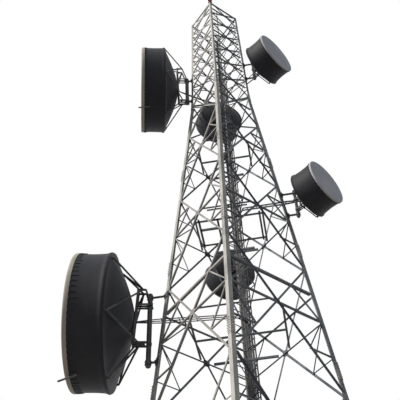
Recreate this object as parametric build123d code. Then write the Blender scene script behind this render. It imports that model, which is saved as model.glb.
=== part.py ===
from build123d import *
from math import cos, hypot, radians, sin, sqrt
import os

os.makedirs("parts", exist_ok=True)

# ---------------------------------------------------------------------------
# Driving sizes, in millimetres. The tower stands on z = 0.
# ---------------------------------------------------------------------------
LOWER_HEIGHT = 29890  # ground to the waist, where the legs straighten
UPPER_HEIGHT = 7810  # waist to the top of the steel
BASE_WIDTH = 6050  # over the leg corners at the ground
WAIST_WIDTH = 1900
TOP_WIDTH = 1710

# Panel boundaries as shares of the lower and of the upper height
LOWER_LEVELS = (0.0, 0.241, 0.462, 0.6317, 0.7849, 0.9214, 1.0)
UPPER_LEVELS = (0.0, 0.197, 0.365, 0.535, 0.694, 0.849, 1.0)
RING_PANEL = 2  # the panel with the heavy ring strut round the tower

# Angle sections
LOWER_LEG = 150
LOWER_LEG_T = 15
UPPER_LEG = 100
UPPER_LEG_T = 12
SHEET = 10  # thickness of every bracing flange
LOWER_DIAGONAL = 70
UPPER_DIAGONAL = 50
LOWER_HORIZONTAL = 60
UPPER_HORIZONTAL = 50
RING_STRUT = 90
REDUNDANT = 45
RIB_SHARE = 0.8  # height of an outstanding flange, as a share of the width
HEEL_GAP = 40  # bracing stops this far short of the leg corner
WALL_GAP = 15  # clearance of outward ribs beside a leg flange
JOINT_GAP = 10  # half the gap between two bracing sections
FOOT_GAP = 150  # bracing starts this far above the ground

# Base plates
PLATE = 620
PLATE_T = 40
PLATE_INSET = 60  # plate centre, inwards from the leg corner
ANCHOR_PITCH = 470
ANCHOR_HOLE = 42
STIFFENER_T = 20
STIFFENER_H = 260

# Leg splices: centre height as a share of the lower height
SPLICE_LEVELS = (0.27, 0.492, 0.664, 0.835)
SPLICE_LENGTH = 640
SPLICE_T = 12
WAIST_SPLICE = 260  # half length of the bent cover plates at the waist

# Plan bracing
PLAN_BAR = 60
PLAN_STRUT = 90
PLAN_FRAMES = 5
FIT = 0.3  # clearance of a seated end

# Climbing ladder, inside the front face beside the front left leg
LADDER_OFFSET = 330
LADDER_DEPTH = 160
LADDER_WIDTH = 400
LADDER_RAIL = 60
LADDER_RAIL_T = 12
RUNG = 20
RUNG_PITCH = 300
LADDER_FOOT = 350

# Cable ladder, inside the right face beside the back right leg
RACK_OFFSET = 360
RACK_DEPTH = 190
RACK_WIDTH = 520
RACK_RAIL = 50
RACK_PITCH = 1800
RACK_HEAD = 3000  # the cable ladder ends this far below the top
FEEDER = 46
FEEDER_PITCH = 60
FEEDERS = 8
FEEDER_FOOT = 600
FEEDER_HEAD = 4500
TIE = 36
TIE_IN = 64  # a ladder tie starts this far inside the leg corner

# Dish mounts
CLAMP_H = 300
CLAMP_T = 15
ARM = 90
LARGE_DISH = 1500  # dishes of a larger radius have a deep back frame
LARGE_SIDES = 32
SMALL_SIDES = 24
PIPE_SIDES = 12
DRUM_WALL = 20
HUB_SHARE = 0.16
RING_SHARE = 0.04  # axial size of the rolled rim, as a share of the radius
PINCH = 50  # the shroud's wall stands this far inside the rims
LUG_SHARE = 0.95
HEAD_SHARE = 0.4  # where the struts leave the back frame, as a share of its depth

# Obstruction light
BEACON_POST = 260
BEACON_R = 110
LENS_H = 260

WAIST_Z = LOWER_HEIGHT
TOP_Z = LOWER_HEIGHT + UPPER_HEIGHT
SHIFT = BASE_WIDTH / 2 - PLATE_INSET
CORNERS = {
    "front_left": (-1, -1),
    "front_right": (1, -1),
    "back_right": (1, 1),
    "back_left": (-1, 1),
}
SIDES = {"front": 0, "right": 90, "back": 180, "left": 270}


def half_width(z):
    """Half the width over the leg corners at height z."""
    if z > WAIST_Z:
        share = (z - WAIST_Z) / UPPER_HEIGHT
        return (WAIST_WIDTH + share * (TOP_WIDTH - WAIST_WIDTH)) / 2
    share = z / LOWER_HEIGHT
    return (BASE_WIDTH + share * (WAIST_WIDTH - BASE_WIDTH)) / 2


def outline(points):
    """The flat face inside a closed run of points."""
    return make_face(Polyline(*points, close=True)).face()


def save(shape, name):
    """Write one node, moved so that the front left base plate has the origin."""
    placed = Location((SHIFT, SHIFT, 0)) * shape
    export_step(placed, "parts/" + name + ".step")
    print(name, len(placed.solids()), "solids")


# ---------------------------------------------------------------------------
# Legs: angle sections swept along the slope of a corner
# ---------------------------------------------------------------------------
def angle_profile(flange, thickness, skin=0):
    """Corner at the origin, flanges along +X and +Y; skin wraps it from outside."""
    return [
        (-skin, -skin),
        (flange, -skin),
        (flange, thickness - skin),
        (thickness - skin, thickness - skin),
        (thickness - skin, flange),
        (-skin, flange),
    ]


def corner_prism(profile, low, high, corner):
    """Sweep a profile of inward distances up one leg, between two heights of one slope."""
    sx, sy = corner
    start, end = half_width(low), half_width(high - 1e-6)
    points = [(sx * (start - a), sy * (start - b), low) for a, b in profile]
    lean = Vector(sx * (end - start), sy * (end - start), high - low)
    return Solid.extrude(outline(points), lean)


def leg(corner, low, high, flange, thickness):
    return corner_prism(angle_profile(flange, thickness), low, high, corner)


def leg_envelope(corner, low, high):
    """The square corner that no bracket may enter."""
    size = LOWER_LEG + 2 * CLAMP_T
    return corner_prism([(0, 0), (size, 0), (size, size), (0, size)], low, high, corner)


def splice_covers(corner):
    covers = []
    for share in SPLICE_LEVELS:
        middle = share * LOWER_HEIGHT
        profile = angle_profile(LOWER_LEG - 10, SPLICE_T, SPLICE_T)
        low, high = middle - SPLICE_LENGTH / 2, middle + SPLICE_LENGTH / 2
        covers.append(corner_prism(profile, low, high, corner))
    profile = angle_profile(UPPER_LEG - 10, SPLICE_T, SPLICE_T)
    below = corner_prism(profile, WAIST_Z - WAIST_SPLICE, WAIST_Z, corner)
    above = corner_prism(profile, WAIST_Z, WAIST_Z + WAIST_SPLICE, corner)
    covers.append(below + above)
    return covers


# ---------------------------------------------------------------------------
# Face bracing: one flat sheet of flanges and gussets, with outstanding ribs
# ---------------------------------------------------------------------------
def bar(p, q, width, offset=0):
    """A straight strip from p to q, moved sideways by offset."""
    dx, dy = q[0] - p[0], q[1] - p[1]
    length = hypot(dx, dy)
    nx, ny = -dy / length, dx / length
    low, high = offset - width / 2, offset + width / 2
    return outline(
        [
            (p[0] + nx * low, p[1] + ny * low),
            (q[0] + nx * low, q[1] + ny * low),
            (q[0] + nx * high, q[1] + ny * high),
            (p[0] + nx * high, p[1] + ny * high),
        ]
    )


def plate(x, y, width, height):
    return Pos(x, y) * Rectangle(width, height).face()


class Side:
    """One tower face between two heights of one slope, seen from outside."""

    def __init__(self, low, high, gauge):
        self.low, self.high, self.gauge = low, high, gauge
        rise = high - low
        lean = half_width(low) - half_width(high - 1e-6)
        self.stretch = hypot(rise, lean) / rise
        self.plane = Plane(
            origin=(0, -half_width(low), low),
            x_dir=(1, 0, 0),
            z_dir=(0, -rise, lean),
        )

    def at(self, u, z):
        return (u, (z - self.low) * self.stretch)

    def edge(self, z):
        """Distance of the bracing's end point on the leg flange from the middle."""
        return half_width(z) - self.gauge

    def trapezoid(self, inset, bottom_gap, top_gap):
        z0, z1 = self.low + bottom_gap, self.high - top_gap
        w0, w1 = half_width(z0) - inset, half_width(z1) - inset
        corners = [self.at(-w0, z0), self.at(w0, z0), self.at(w1, z1), self.at(-w1, z1)]
        return outline(corners)

    def crossing(self, z0, z1):
        """Height at which the two diagonals of a panel cross."""
        return z0 + (z1 - z0) * self.edge(z0) / (self.edge(z0) + self.edge(z1))


def panel(side, z0, z1, sizes, heavy, ring):
    """The strips, outward ribs and inward ribs of one X-braced panel."""
    diagonal, horizontal, gusset = sizes
    zc = side.crossing(z0, z1)
    e0, e1, ec = side.edge(z0), side.edge(z1), side.edge(zc)
    rising = (side.at(-e0, z0), side.at(e1, z1))
    falling = (side.at(-e1, z1), side.at(e0, z0))
    level = (side.at(-ec, zc), side.at(ec, zc))
    strips = [bar(*rising, diagonal), bar(*falling, diagonal), bar(*level, horizontal)]
    outward = [bar(*falling, SHEET, (diagonal - SHEET) / 2)]
    inward = [
        bar(*rising, SHEET, (diagonal - SHEET) / 2),
        bar(*level, SHEET, (SHEET - horizontal) / 2),
    ]
    if gusset > LOWER_LEG:
        strips.append(plate(*side.at(0, zc), gusset, gusset))
    for s in (-1, 1):
        if gusset > LOWER_LEG:
            strips.append(plate(*side.at(s * e0, z0), gusset, 1.5 * gusset))
            strips.append(plate(*side.at(s * e1, z1), gusset, 1.5 * gusset))
        if heavy:
            for end, z_end in ((e1, z1), (e0, z0)):
                z = (zc + z_end) / 2
                middle = side.at(s * end / 2, z)
                strips.append(bar(side.at(s * side.edge(z), z), middle, REDUNDANT))
                strips.append(bar(side.at(s * ec, zc), middle, REDUNDANT))
    if ring:
        z = (zc + z1) / 2
        ends = (side.at(-side.edge(z), z), side.at(side.edge(z), z))
        strips.append(bar(*ends, RING_STRUT))
        inward.append(bar(*ends, SHEET, (SHEET - RING_STRUT) / 2))
    return strips, outward, inward, zc


def bracing(levels, leg_size, leg_t, sizes, heavy=False, ring=None, top_bar=False):
    """One face's lattice over its panels, as a single solid; heavy bars get ribs."""
    side = Side(levels[0], levels[-1], leg_size / 2)
    diagonal, horizontal, gusset = sizes
    strips, outward, inward, windows = [], [], [], []
    for i in range(len(levels) - 1):
        lists = panel(side, levels[i], levels[i + 1], sizes, heavy, i == ring)
        strips += lists[0]
        outward += lists[1]
        inward += lists[2]
        windows.append(plate(*side.at(0, lists[3]), 1.4 * gusset, 1.4 * gusset))
    if top_bar:
        z = levels[-1] - horizontal / 2 - JOINT_GAP
        ends = (side.at(-side.edge(z), z), side.at(side.edge(z), z))
        strips.append(bar(*ends, horizontal))
        inward.append(bar(*ends, SHEET, (SHEET - horizontal) / 2))
    foot = FOOT_GAP if levels[0] == 0 else JOINT_GAP
    sheet_clip = side.trapezoid(HEEL_GAP, foot, JOINT_GAP)
    outer_clip = side.trapezoid(leg_size + WALL_GAP, foot, JOINT_GAP)
    rib = RIB_SHARE * diagonal
    inner_clip = side.trapezoid(leg_t + SHEET + rib + WALL_GAP, foot, JOINT_GAP)
    sheet = (Sketch() + strips) & sheet_clip
    outer = (Sketch() + outward) & outer_clip
    inner = ((Sketch() + inward) - windows) & inner_clip
    outside = side.plane.offset(-leg_t)
    inside = side.plane.offset(-leg_t - SHEET)
    solid = extrude(outside * sheet, amount=-SHEET)
    if heavy:
        solid += extrude(outside * outer, amount=rib)
        solid += extrude(inside * inner, amount=-rib)
    return solid


# ---------------------------------------------------------------------------
# Plan bracing: a diamond between the crossings, with a strut between two sides
# ---------------------------------------------------------------------------
def plan_frame(z, leg_t):
    reach = half_width(z)
    points = [(0, -reach), (reach, 0), (0, reach), (-reach, 0)]
    bars = [bar(points[i], points[(i + 1) % 4], PLAN_BAR) for i in range(4)]
    bars.append(bar((-reach / 2, reach / 2), (reach / 2, -reach / 2), PLAN_STRUT))
    seat = half_width(z + SHEET) - leg_t - SHEET - FIT
    flat = (Sketch() + bars) & Rectangle(2 * seat, 2 * seat).face()
    return extrude(Pos(0, 0, z) * flat, amount=SHEET)


# ---------------------------------------------------------------------------
# Base plates
# ---------------------------------------------------------------------------
def base_plate(corner):
    sx, sy = corner
    reach = BASE_WIDTH / 2
    centre = Pos(sx * (reach - PLATE_INSET), sy * (reach - PLATE_INSET), 0)
    solid = extrude(Rectangle(PLATE, PLATE), amount=PLATE_T)
    holes = GridLocations(ANCHOR_PITCH, ANCHOR_PITCH, 2, 2) * Circle(ANCHOR_HOLE / 2)
    solid = centre * (solid - extrude(Sketch() + holes, amount=PLATE_T))
    outer = PLATE / 2 - PLATE_INSET - 10
    inner, crest = -LOWER_LEG / 2, PLATE_T + STIFFENER_H
    web = [(inner, PLATE_T), (outer, PLATE_T), (outer, PLATE_T + 60), (30, crest), (inner, crest)]
    middle = reach - LOWER_LEG / 2
    for along_x in (True, False):
        if along_x:
            points = [(sx * (reach + a), sy * middle, z) for a, z in web]
            sweep = Vector(0, sy * STIFFENER_T, 0)
        else:
            points = [(sx * middle, sy * (reach + a), z) for a, z in web]
            sweep = Vector(sx * STIFFENER_T, 0, 0)
        fin = Solid.extrude(outline(points), sweep)
        solid += fin - leg_envelope(corner, PLATE_T, 2 * STIFFENER_H)
    return solid


# ---------------------------------------------------------------------------
# Climbing ladder and cable ladder
# ---------------------------------------------------------------------------
def slanted_box(size_x, size_y, low, high, place):
    """A vertical bar that follows the slope; place(z) gives its centre in plan."""
    x0, y0 = place(low)
    x1, y1 = place(high - 1e-6)
    base = Pos(x0, y0, low) * Rectangle(size_x, size_y).face()
    return Solid.extrude(base, Vector(x1 - x0, y1 - y0, high - low))


def tie_heights():
    """Free stretches of the leg flanges, between the bracing's end points."""
    heights = []
    for levels, gauge in ((lower, LOWER_LEG / 2), (upper[:-2], UPPER_LEG / 2)):
        for z0, z1 in zip(levels, levels[1:]):
            zc = Side(levels[0], levels[-1], gauge).crossing(z0, z1)
            heights.append(z0 + 0.28 * (zc - z0))
    return [z for z in heights if abs(z - WAIST_Z) > WAIST_SPLICE + TIE]


def rails(low, high, size_x, size_y, place, half):
    """Two rails either side of place(z), from the lower slope into the upper one."""
    parts = []
    for z0, z1 in ((low, WAIST_Z), (WAIST_Z, high)):
        for across in (-half, half):
            parts.append(slanted_box(size_x, size_y, z0, z1, lambda z: place(z, across)))
    return parts


def leg_t_at(z):
    return UPPER_LEG_T if z > WAIST_Z else LOWER_LEG_T


def ladder():
    """Two rails with rungs between them, parallel to the front left leg."""

    def place(z, across=0.0):
        h = half_width(z)
        return (LADDER_OFFSET + across - h, LADDER_DEPTH - h)

    high = TOP_Z - LADDER_FOOT
    parts = rails(LADDER_FOOT, high, LADDER_RAIL_T, LADDER_RAIL, place, LADDER_WIDTH / 2)
    count = int((high - LADDER_FOOT) / RUNG_PITCH)
    for i in range(count):
        z = LADDER_FOOT + (i + 0.5) * RUNG_PITCH
        parts.append(Pos(*place(z), z) * Box(LADDER_WIDTH, RUNG, RUNG))
    for z in tie_heights():
        h = half_width(z + TIE / 2)
        start, end = leg_t_at(z) + FIT - h, LADDER_DEPTH - h
        rail = LADDER_OFFSET - LADDER_WIDTH / 2
        bracket = Box(rail - TIE_IN, end - start, SHEET)
        parts.append(Pos((rail + TIE_IN) / 2 - h, (start + end) / 2, z) * bracket)
    return parts[0].fuse(*parts[1:])


def rack_place(z, across=0.0):
    h = half_width(z)
    return (h - RACK_DEPTH, h - RACK_OFFSET + across)


def cable_rack():
    """Two rails and cross bars, parallel to the back right leg."""
    high = TOP_Z - RACK_HEAD
    parts = rails(LADDER_FOOT, high, RACK_RAIL, LADDER_RAIL_T, rack_place, RACK_WIDTH / 2)
    count = int((high - LADDER_FOOT) / RACK_PITCH)
    for i in range(count):
        z = LADDER_FOOT + (i + 0.5) * RACK_PITCH
        parts.append(Pos(*rack_place(z), z) * Box(RACK_RAIL - SHEET, RACK_WIDTH, SHEET))
    for z in tie_heights():
        h = half_width(z + TIE / 2)
        start, end = h - RACK_DEPTH, h - leg_t_at(z) - FIT
        y = h - RACK_OFFSET + RACK_WIDTH / 2
        parts.append(Pos((start + end) / 2, y + TIE / 2, z) * Box(end - start, TIE, TIE))
    return parts[0].fuse(*parts[1:])


def feeders():
    """The straight feeder lines, clamped to the inner face of the cable ladder."""
    lines = []
    for i in range(FEEDERS):
        across = (i - (FEEDERS - 1) / 2) * FEEDER_PITCH

        def place(z):
            x, y = rack_place(z, across)
            return (x - (RACK_RAIL - SHEET + FEEDER) / 2 - 2 * FIT, y)

        below = slanted_box(FEEDER, FEEDER, FEEDER_FOOT, WAIST_Z, place)
        above = slanted_box(FEEDER, FEEDER, WAIST_Z, TOP_Z - FEEDER_HEAD, place)
        lines.append(below + above)
    return lines


# ---------------------------------------------------------------------------
# Shrouded dishes. In a dish's own frame +X is the way it looks, the mount pipe
# stands on the Z axis and the origin is level with the middle of the dish.
# ---------------------------------------------------------------------------
class Dish:
    def __init__(self, name, corner, z, aim, out, drum, hub, frame, arms):
        self.name, self.corner, self.z = name, CORNERS[corner], z
        self.radius, self.shroud, self.depth = drum
        self.hub = hub  # distance from the mount pipe to the back of the hub
        self.frame = frame  # top and bottom of the back frame, and its half width
        self.arms = arms  # heights of the two arms above the dish's middle
        self.large = self.radius > LARGE_DISH
        self.sides = LARGE_SIDES if self.large else SMALL_SIDES
        reach = half_width(z) + out / sqrt(2)
        self.pipe = (self.corner[0] * reach, self.corner[1] * reach)
        heading, tilt = aim
        self.stand = Location((*self.pipe, z), (0, 0, heading))
        self.place = self.stand * Rot(0, -tilt, 0)

    @property
    def rim(self):
        return self.hub + self.depth

    @property
    def front(self):
        return self.rim + self.shroud

    def back(self, share):
        """How far forward the reflector's back lies at a share of its radius."""
        return self.hub + self.depth * (share**2 - HUB_SHARE**2) / (1 - HUB_SHARE**2)


def drum(stations, sides):
    """A closed many-sided turning about X, through stations of (x, flat radius)."""
    half = radians(180 / sides)
    rings = []
    for x, r in stations:
        turns = [(2 * i + 1) * half for i in range(sides)]
        point = r / cos(half)
        rings.append([Vector(x, point * cos(t), point * sin(t)) for t in turns])
    faces = [Face(Wire.make_polygon(ring)) for ring in (rings[0], rings[-1])]
    for ring, other in zip(rings, rings[1:]):
        for i in range(sides):
            j = (i + 1) % sides
            corners = [ring[i], ring[j], other[j], other[i]]
            faces.append(Face(Wire.make_polygon(corners)))
    return Solid(Shell(faces))


def bowl(dish):
    """The outside of reflector, rolled rim and shroud."""
    r, ring = dish.radius, RING_SHARE * dish.radius
    back, fore = dish.rim - ring, dish.rim + ring / 2
    curve = [(dish.back(share), share * r) for share in (HUB_SHARE, 0.45, 0.75)]
    rolled = [(back, 0.93 * r), (back, r), (fore, r), (fore, r - PINCH)]
    return drum(curve + rolled + [(dish.front, r - PINCH)], dish.sides)


def reflector(dish):
    r = dish.radius - PINCH - DRUM_WALL
    hollow = [
        (dish.hub + DRUM_WALL, HUB_SHARE * r),
        (dish.back(0.6) + DRUM_WALL, 0.6 * r),
        (dish.rim + DRUM_WALL, r),
        (dish.front + DRUM_WALL, r),
    ]
    return bowl(dish) - drum(hollow, dish.sides)


def radome(dish):
    """The front sheet with the lip that grips the shroud."""
    lip, bore = 160 if dish.large else 60, dish.radius - PINCH + FIT
    outer = [(dish.front - lip, dish.radius), (dish.front + 30, dish.radius)]
    inner = [(dish.front - lip - 1, bore), (dish.front, bore)]
    return drum(outer, dish.sides) - drum(inner, dish.sides)


def strut(p, q, size):
    """A square bar between two points."""
    axis = Vector(*q) - Vector(*p)
    base = Plane(origin=p, z_dir=axis) * Rectangle(size, size)
    return extrude(base, amount=axis.length)


def upright(x, thick, w, low, high, cross_bars, width):
    """A flat frame across the dish axis: two uprights and the bars between them."""
    middle, height = (low + high) / 2, high - low
    bars = [plate(s * w, middle, width, height) for s in (-1, 1)]
    bars += [plate(0, z, 2 * w, width) for z in cross_bars]
    return extrude(Plane.YZ.offset(x) * (Sketch() + bars), amount=thick)


def mount(dish):
    """Pipe, clamps, back frame, struts to the rim and the two arms to the leg."""
    top, bottom, w = dish.frame
    size, pipe_r, lug = (80, 84, 150) if dish.large else (60, 57, 60)
    low, high = min(dish.arms) - CLAMP_H / 2, max(dish.arms) + CLAMP_H / 2
    pipe = Pos(0, 0, low) * extrude(RegularPolygon(pipe_r, PIPE_SIDES), amount=high - low)
    ends = (bottom + size / 2, top - size / 2)
    grips = (max(ends[0], low + size), min(top / 2, high - size))
    chord, head = dish.hub - size / 2, HEAD_SHARE * dish.hub
    solid = upright(dish.hub - size, size, w, bottom, top, ends + grips, size)
    for z in grips:
        block = Box(chord + 1.6 * pipe_r, 2.7 * pipe_r, 1.8 * size)
        solid += Pos(chord / 2 - 0.8 * pipe_r, 0, z) * block
    lugs = [(240, -w, ends[0]), (300, w, ends[0])]
    if dish.large:
        for y in (-w, w):
            solid += strut((head, y, ends[1]), (chord, y, ends[1]), size)
            solid += strut((head, y, ends[1]), (0, y, grips[1]), 0.8 * size)
            solid += strut((0, y, ends[0]), (chord, y, ends[0]), size)
        lugs += [(70, w, ends[1]), (110, -w, ends[1]), (330, w, ends[1]), (330, w, ends[0])]
        lugs += [(210, -w, ends[1]), (210, -w, ends[0])]
    for turn, y, z in lugs:
        r, x = LUG_SHARE * dish.radius, dish.back(LUG_SHARE) - lug
        end = (x, r * cos(radians(turn)), r * sin(radians(turn)))
        solid += strut((head if dish.large else chord, y, z), end, 0.7 * size)
        block = Box(lug + size, 1.3 * size, size)
        solid += Pos(x + lug / 2, end[1], end[2]) * Rot(turn, 0, 0) * block
    solid -= bowl(dish)
    solid = dish.place * solid + dish.stand * pipe
    for height in dish.arms:
        solid += arm(dish, dish.z + height)
    return solid


def arm(dish, z):
    """A level arm from the mount pipe to the leg, with its cover plate on the leg."""
    sx, sy = dish.corner
    low, high = z - CLAMP_H / 2, z + CLAMP_H / 2
    flange = UPPER_LEG if low > WAIST_Z else LOWER_LEG
    clamp = corner_prism(angle_profile(flange, CLAMP_T, CLAMP_T), low, high, dish.corner)
    heel = half_width(z) - 3 * CLAMP_T
    start, end = Vector(*dish.pipe, z), Vector(sx * heel, sy * heel, z)
    turn = 45 if sx == sy else -45
    beam = Box((end - start).length, ARM, 0.9 * ARM)
    beam = Location((start + end) / 2, (0, 0, turn)) * beam
    return clamp + (beam - leg_envelope(dish.corner, low, high))


# ---------------------------------------------------------------------------
# Obstruction light on the front left leg
# ---------------------------------------------------------------------------
def upright_drum(stations, sides=16):
    """A many-sided turning about Z, through stations of (z, radius)."""
    return Rot(0, -90, 0) * drum(stations, sides)


def beacon():
    h = half_width(TOP_Z) - 40
    foot = Pos(-h, -h, TOP_Z)
    base_z = 16 + BEACON_POST
    lens_z = base_z + 80
    seat = Pos(0, 0, 8) * Box(170, 170, 16)
    body = upright_drum([(12, 30), (base_z, 30), (base_z, BEACON_R), (lens_z, BEACON_R)])
    wide, narrow = 0.82 * BEACON_R, 0.5 * BEACON_R
    bulge = [(lens_z, wide), (lens_z + 0.75 * LENS_H, wide), (lens_z + LENS_H, narrow)]
    return foot * (seat + body), foot * upright_drum(bulge)


# ---------------------------------------------------------------------------
# The nodes
# ---------------------------------------------------------------------------
lower = [share * LOWER_HEIGHT for share in LOWER_LEVELS]
upper = [WAIST_Z + share * UPPER_HEIGHT for share in UPPER_LEVELS]
LOWER_SIZES = (LOWER_DIAGONAL, LOWER_HORIZONTAL, 240)
UPPER_SIZES = (UPPER_DIAGONAL, UPPER_HORIZONTAL, 140)

for name, corner in CORNERS.items():
    save(leg(corner, PLATE_T, WAIST_Z, LOWER_LEG, LOWER_LEG_T), "leg_" + name + "_lower")
    save(leg(corner, WAIST_Z, TOP_Z, UPPER_LEG, UPPER_LEG_T), "leg_" + name + "_upper")

save(Compound([c for corner in CORNERS.values() for c in splice_covers(corner)]), "leg_splices")
save(Compound([base_plate(corner).solid() for corner in CORNERS.values()]), "base_plates")

sections = {
    "bottom": bracing(lower[:2], LOWER_LEG, LOWER_LEG_T, LOWER_SIZES, heavy=True),
    "second": bracing(lower[1:3], LOWER_LEG, LOWER_LEG_T, LOWER_SIZES, heavy=True),
    "middle": bracing(lower[2:], LOWER_LEG, LOWER_LEG_T, LOWER_SIZES, ring=RING_PANEL - 2),
    "top": bracing(upper, UPPER_LEG, UPPER_LEG_T, UPPER_SIZES, top_bar=True),
}
for side_name, turn in SIDES.items():
    for section_name, solid in sections.items():
        save(Rot(0, 0, turn) * solid, "bracing_" + side_name + "_" + section_name)

frames = []
for i in range(PLAN_FRAMES):
    side = Side(lower[i], lower[i + 1], LOWER_LEG / 2)
    frames.append(plan_frame(side.crossing(lower[i], lower[i + 1]), LOWER_LEG_T).solid())
save(Compound(frames), "plan_bracing")

save(ladder(), "climbing_ladder")
save(cable_rack(), "cable_ladder")
save(Compound([line.solid() for line in feeders()]), "feeder_lines")

UPPER_DISH_Z = WAIST_Z + 2110
LOWER_DISH_Z = 0.7455 * LOWER_HEIGHT
UPPER_SMALL = (388, (1067, 913, 330), 164, (450, -350, 120), (780, -460))
LOWER_SMALL = (408, (940, 868, 300), 265, (420, -350, 120), (640, -560))
DISHES = [
    Dish("left_upper", "back_left", WAIST_Z + 1450, (148, -1.5), 208, (1980, 990, 670), 460,
         (1860, -1000, 110), (820, -950)),
    Dish("left_lower", "back_left", 0.5872 * LOWER_HEIGHT, (143.3, 2.7), 416,
         (2320, 1150, 740), 522, (1390, -950, 110), (1060, -1650)),
    Dish("right_upper", "front_right", UPPER_DISH_Z, (280.4, 1.8), *UPPER_SMALL),
    Dish("right_lower", "front_right", LOWER_DISH_Z, (280.1, 2.4), *LOWER_SMALL),
    Dish("rear_upper", "back_right", UPPER_DISH_Z, (70, 1.8), *UPPER_SMALL),
    Dish("rear_lower", "back_right", LOWER_DISH_Z, (77, 2.4), *LOWER_SMALL),
]
for dish in DISHES:
    save(dish.place * reflector(dish), "dish_" + dish.name + "_reflector")
    save(dish.place * radome(dish), "dish_" + dish.name + "_radome")
    save(mount(dish), "dish_" + dish.name + "_mount")

beacon_base, beacon_lens = beacon()
save(beacon_base, "beacon_base")
save(beacon_lens, "beacon_lens")
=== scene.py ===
# %% [markdown]
# # A lattice tower with shrouded dishes
# The tower is a square frame of galvanised steel angles. Its main parts come packed as one fixed
# frame: legs, bracing, ladders, dish shells and mounts. This lesson dresses that frame. It adds
# the light steel that is too fine for the frame, turns smooth skins for the dishes, and gives
# every piece a procedural finish.

import bmesh
import bpy
from math import cos, pi, radians, sin, sqrt
from mathutils import Matrix, Vector, noise


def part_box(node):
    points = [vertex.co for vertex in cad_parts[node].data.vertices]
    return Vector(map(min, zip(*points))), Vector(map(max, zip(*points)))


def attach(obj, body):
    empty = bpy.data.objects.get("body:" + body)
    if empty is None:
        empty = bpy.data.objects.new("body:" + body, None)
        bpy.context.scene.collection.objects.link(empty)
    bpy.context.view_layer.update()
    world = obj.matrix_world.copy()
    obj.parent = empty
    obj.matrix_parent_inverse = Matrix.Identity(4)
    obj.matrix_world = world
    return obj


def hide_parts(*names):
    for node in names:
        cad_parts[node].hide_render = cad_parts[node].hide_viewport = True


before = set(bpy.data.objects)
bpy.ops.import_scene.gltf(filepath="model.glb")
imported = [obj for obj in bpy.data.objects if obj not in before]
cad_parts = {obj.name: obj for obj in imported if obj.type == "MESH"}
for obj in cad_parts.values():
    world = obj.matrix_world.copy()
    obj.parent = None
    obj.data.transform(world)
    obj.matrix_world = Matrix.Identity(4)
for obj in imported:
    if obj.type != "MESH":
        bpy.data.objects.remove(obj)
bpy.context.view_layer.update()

# %% [markdown]
# ## Sizes that everything hangs from
# The four legs lean in to a waist and then rise almost straight. One function gives the half
# width at any height, so that each new bar can find the legs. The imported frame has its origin
# under the front left foot, and the tower's own axis stands a fixed step away from it. Sizes are
# written round that axis, because the tower is symmetrical there, and moved over at the end.

# %% The tower's own sizes, in metres
WAIST, TOP = 29.89, 37.70
BASE_HALF, WAIST_HALF, TOP_HALF = 3.025, 0.950, 0.855
FOOT = 2.965
AXIS = Vector((FOOT, FOOT, 0.0))


def half_width(z):
    """Half the width over the leg corners at height z."""
    if z > WAIST:
        return WAIST_HALF + (z - WAIST) / (TOP - WAIST) * (TOP_HALF - WAIST_HALF)
    return BASE_HALF + z / WAIST * (WAIST_HALF - BASE_HALF)


print("half width at foot and waist:", half_width(0), round(half_width(WAIST), 3))

# %% [markdown]
# ## Camera
# A person standing near the foot looks up at the tower, so verticals lean together. A camera is
# set by its place, its lens and the three directions of its body. Writing the directions as a
# matrix keeps them exact, where three turning angles would hide what they mean.

# %% Place the camera
right = Vector((0.81900, -0.57320, -0.02594))
up = Vector((-0.42145, -0.63163, 0.65071))
back = Vector((-0.38937, -0.52200, -0.75889))
EYE = (-8.975, -11.185, 1.63)
camera_data = bpy.data.cameras.new("camera")
camera_data.sensor_width = 36.0
camera_data.lens = 66.32
camera_data.clip_start, camera_data.clip_end = 0.5, 500.0
camera = bpy.data.objects.new("camera", camera_data)
body = Matrix((right, up, back)).transposed().to_4x4()
camera.matrix_world = Matrix.Translation(EYE) @ body
bpy.context.scene.collection.objects.link(camera)
bpy.context.scene.camera = camera
print("camera at", tuple(round(v, 2) for v in camera.location))

# %% [markdown]
# ## Floor and light
# A pale floor catches a soft shadow, and one broad lamp high on the left gives the steel a bright
# side and a dark side. A round area lamp would have to be huge to reach the whole tower evenly, so
# a sun lamp is used, widened to twelve degrees to keep its shadows soft.

# %% Floor and lamp
scene = bpy.context.scene
scene.view_settings.view_transform = "Standard"
floor_mesh = bpy.data.meshes.new("floor")
FLOOR_REACH, FLOOR_LEVEL = 60.0, -0.002
corners = [
    Vector((sx * FLOOR_REACH, sy * FLOOR_REACH, FLOOR_LEVEL)) + AXIS
    for sx, sy in ((-1, -1), (1, -1), (1, 1), (-1, 1))
]
floor_mesh.from_pydata(corners, [], [(0, 1, 2, 3)])
floor = bpy.data.objects.new("floor", floor_mesh)
scene.collection.objects.link(floor)

SUN_FROM = Vector((-0.80, 0.16, 0.60))
sun = bpy.data.lights.new("studio_sun", "SUN")
sun.energy = 3.4
sun.color = (1.0, 0.965, 0.90)
sun.angle = radians(12)
lamp = bpy.data.objects.new("studio_sun", sun)
lamp.rotation_mode = "QUATERNION"
lamp.rotation_quaternion = SUN_FROM.to_track_quat("Z", "Y")
scene.collection.objects.link(lamp)
print("stage set with", lamp.name)

# %% [markdown]
# ## A small language for finishes
# Shader maths is easier to read as an expression than as a web of nodes. One class wraps a node
# output and lets it be added, subtracted and scaled; each operator adds its Math node. One method
# makes every other kind of node from its type, its settings and its inputs.

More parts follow.
